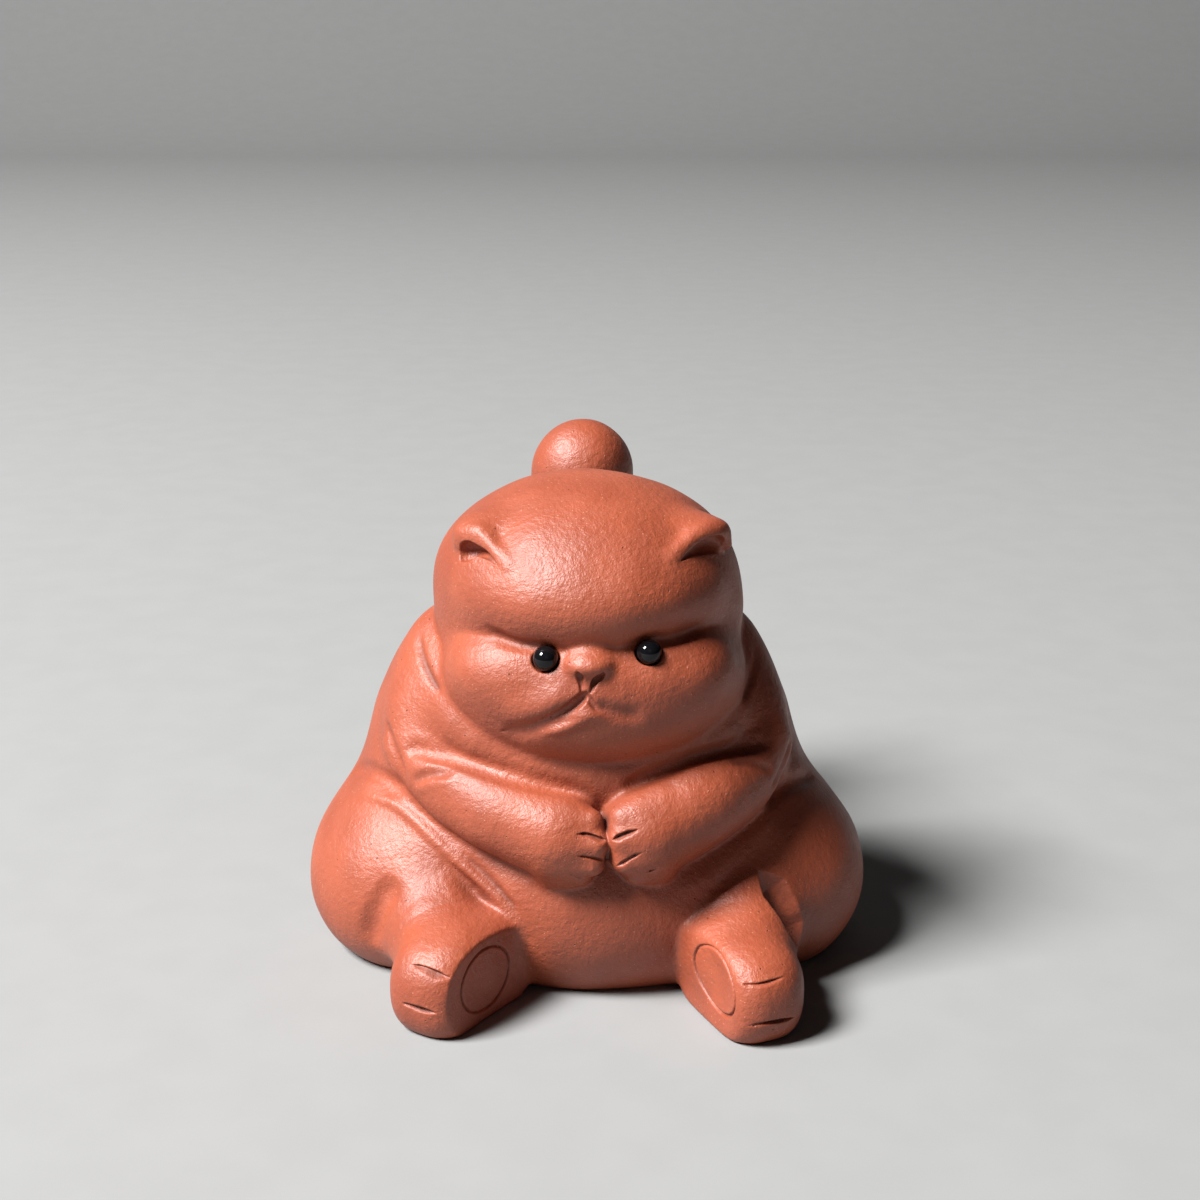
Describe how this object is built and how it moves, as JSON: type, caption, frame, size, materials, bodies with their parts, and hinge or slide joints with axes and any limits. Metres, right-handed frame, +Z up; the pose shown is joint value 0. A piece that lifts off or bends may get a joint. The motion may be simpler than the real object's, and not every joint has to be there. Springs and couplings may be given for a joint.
{
  "type": "cat tea pet",
  "caption": "Fat seated clay cat for a tea tray, with folded ears, bead eyes, paws on its belly, feet turned up and a thick tail upright behind.",
  "frame": {"origin": "on the flat underside, under the middle of the belly", "axes": "+Z up, the cat looks along -Y, +X is the right of the picture"},
  "size_m": [0.0695, 0.0702, 0.0598],
  "materials": {
    "red_clay": "unglazed, fine-grained, faint sheen from handling",
    "black_bead": "polished gloss"
  },
  "bodies": {
    "root": {"cat_figure": "red_clay", "left_eye": "black_bead", "right_eye": "black_bead"}
  },
  "joints": []
}
